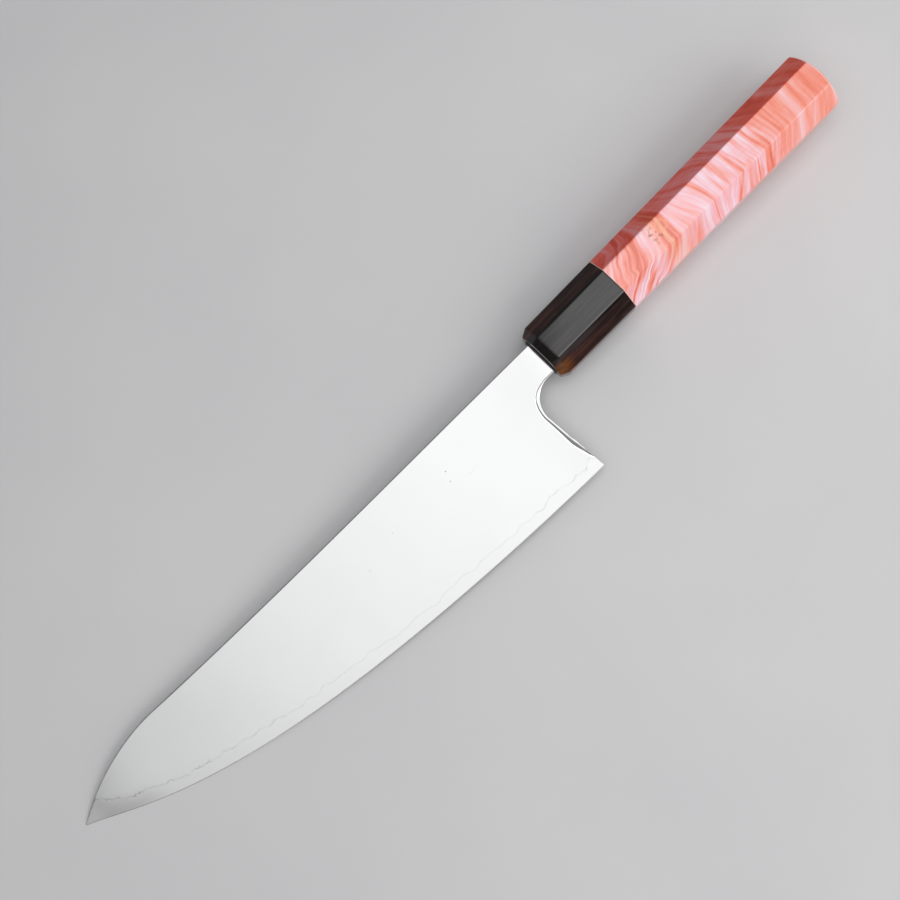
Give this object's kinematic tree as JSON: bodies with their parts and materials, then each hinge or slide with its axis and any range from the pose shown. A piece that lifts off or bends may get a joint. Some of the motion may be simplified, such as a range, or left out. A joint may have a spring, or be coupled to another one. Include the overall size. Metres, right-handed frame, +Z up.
{
  "type": "chef knife",
  "caption": "Chef's knife with a mirror-polished layered steel blade, a rounded choil, a dark horn ferrule and an octagonal pink maple handle with a domed butt.",
  "frame": {"origin": "on the surface that the knife lies on, under the middle of its box", "axes": "+X from the tip towards the butt, +Y from the edge side towards the spine side, +Z up; the knife lies as it comes to rest on a table, on the ferrule's lower front corner and on the belly of its edge 20 mm behind the tip, so the blade is rolled 5.2 degrees edge down and the butt is pitched 2.4 degrees up"},
  "size_m": [0.3583, 0.053, 0.0257],
  "materials": {
    "core_steel": "polished",
    "cladding_steel": "polished",
    "horn": "gloss",
    "pink_maple": "gloss",
    "dowel_wood": "matte",
    "adhesive": "satin",
    "sealer": "satin"
  },
  "bodies": {
    "root": {"core_steel": "core_steel", "cladding_left": "cladding_steel", "cladding_right": "cladding_steel", "ferrule": "horn", "handle_body": "pink_maple", "tang_dowel": "dowel_wood", "tang_adhesive": "adhesive", "mouth_seal": "sealer"}
  },
  "joints": []
}
